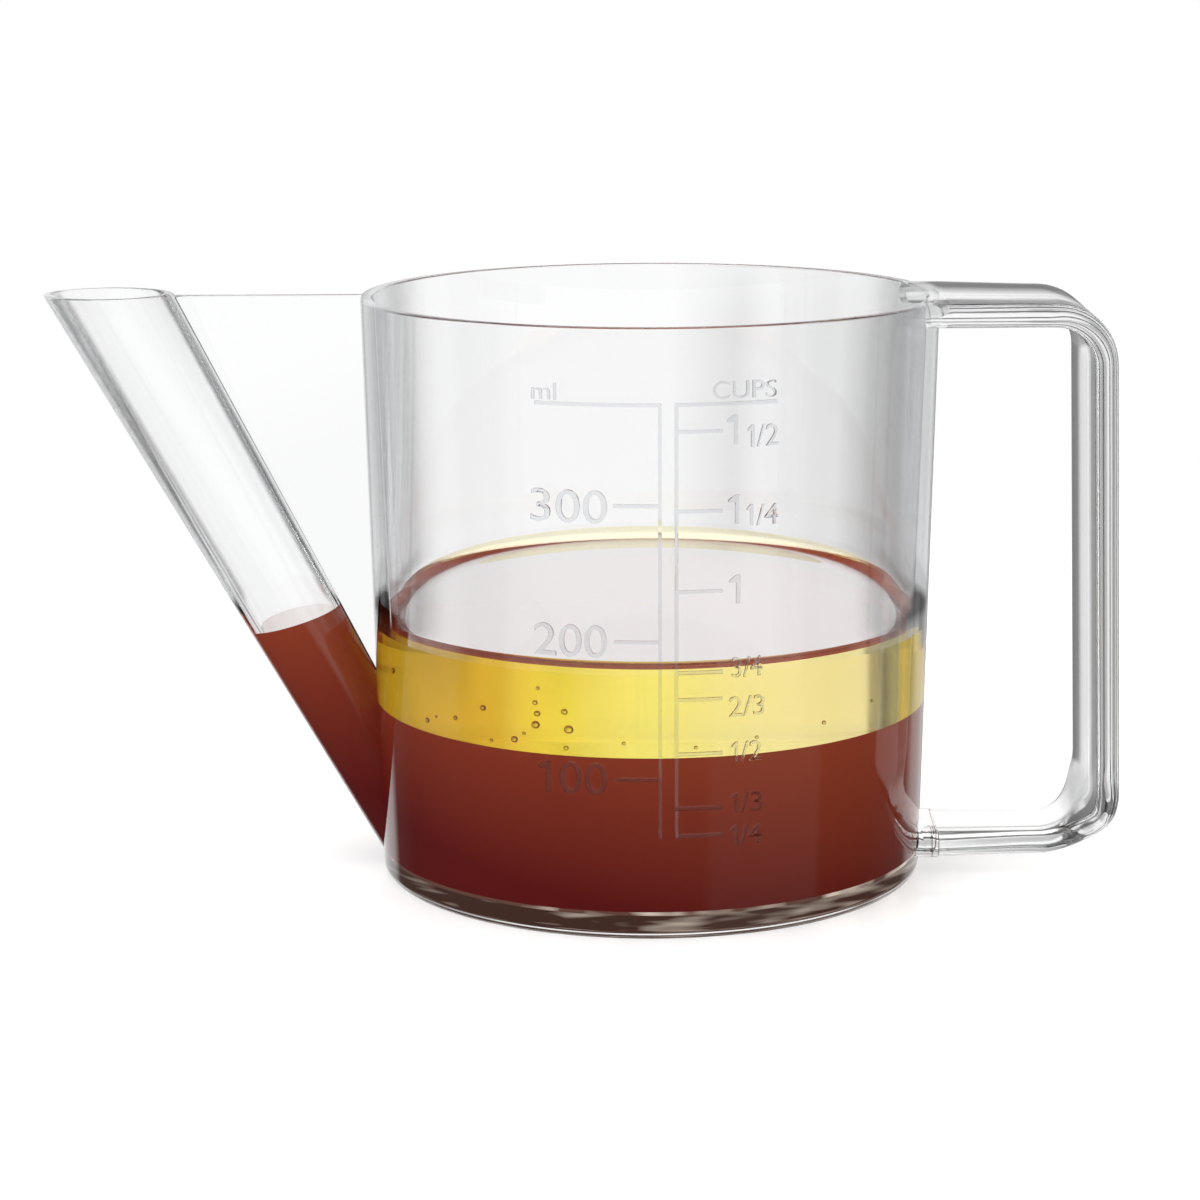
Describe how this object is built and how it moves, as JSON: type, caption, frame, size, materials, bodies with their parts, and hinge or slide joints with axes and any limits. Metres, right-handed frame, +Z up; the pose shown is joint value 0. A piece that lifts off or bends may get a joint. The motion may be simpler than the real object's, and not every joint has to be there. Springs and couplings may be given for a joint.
{
  "type": "gravy fat separator",
  "caption": "Clear round measuring cup with a straight spout that starts at the floor, a web, a flat strap handle and raised scales, for pouring gravy from under its fat.",
  "frame": {"origin": "the middle of the foot, on the table", "axes": "+Z up along the cup's axis; the spout points along -X and the handle along +X"},
  "size_m": [0.1612, 0.0867, 0.0887],
  "materials": {
    "clear_plastic": "water-clear moulded plastic, high gloss",
    "raised_marks": "raised lines and numerals in the same clear plastic, which read grey",
    "gravy": "dark red-brown liquid, wet gloss",
    "fat": "clear yellow liquid, wet gloss"
  },
  "bodies": {
    "root": {"cup_wall": "clear_plastic", "cup_floor": "clear_plastic", "spout_tube": "clear_plastic", "spout_web": "clear_plastic", "handle_strap": "clear_plastic", "upper_handle_pad": "clear_plastic", "lower_handle_pad": "clear_plastic", "millilitre_scale": "raised_marks", "measure_scale": "raised_marks"}
  },
  "joints": []
}
